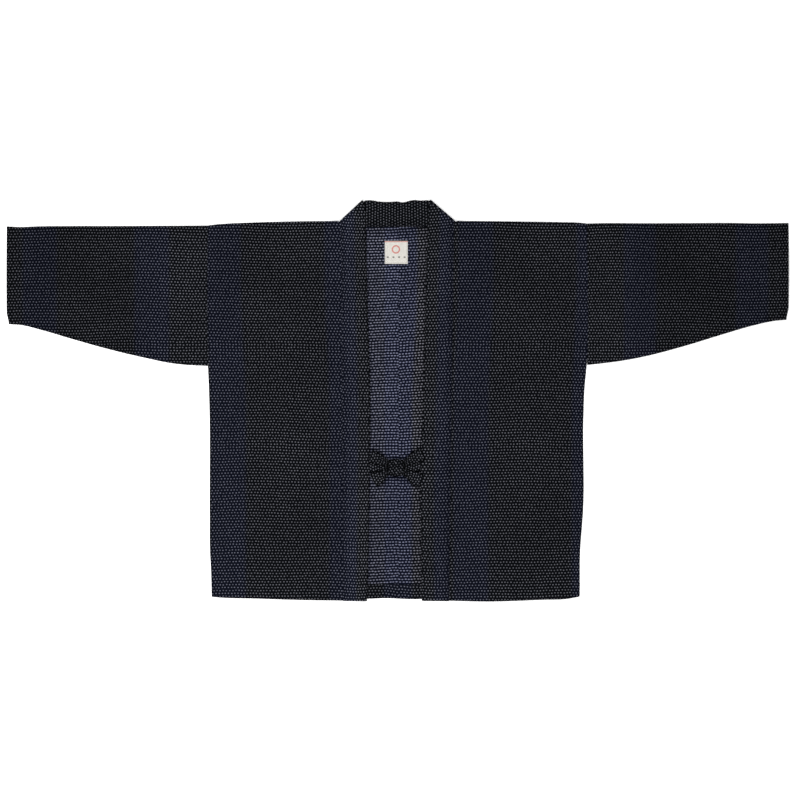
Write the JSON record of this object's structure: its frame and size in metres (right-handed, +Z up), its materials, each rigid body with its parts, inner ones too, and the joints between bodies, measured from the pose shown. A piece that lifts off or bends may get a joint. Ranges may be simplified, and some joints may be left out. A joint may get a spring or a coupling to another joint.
{
  "type": "haori jacket laid flat",
  "caption": "Short open-fronted haori jacket laid flat, with tapered sleeves, a folded collar band down both fronts and a small self-cloth bow tie.",
  "frame": {"origin": "on the surface that the jacket lies on, under the middle of its bounding box", "axes": "+X to the right of someone looking down at the jacket, sleeve to sleeve; +Y from the hem to the neck; +Z up, away from the surface"},
  "size_m": [1.3668, 0.7023, 0.0107],
  "materials": {
    "woven_cloth": "matte",
    "collar_cloth": "matte",
    "tie_cloth": "matte",
    "label_cloth": "satin"
  },
  "bodies": {
    "root": {"back_left": "woven_cloth", "back_right": "woven_cloth", "front_left": "woven_cloth", "front_right": "woven_cloth", "sleeve_left": "woven_cloth", "sleeve_right": "woven_cloth", "collar": "collar_cloth", "tie_arm_left": "tie_cloth", "tie_arm_right": "tie_cloth", "tie_loop_left": "tie_cloth", "tie_loop_right": "tie_cloth", "tie_tail_left": "tie_cloth", "tie_tail_right": "tie_cloth", "tie_knot": "tie_cloth", "label": "label_cloth"}
  },
  "joints": []
}
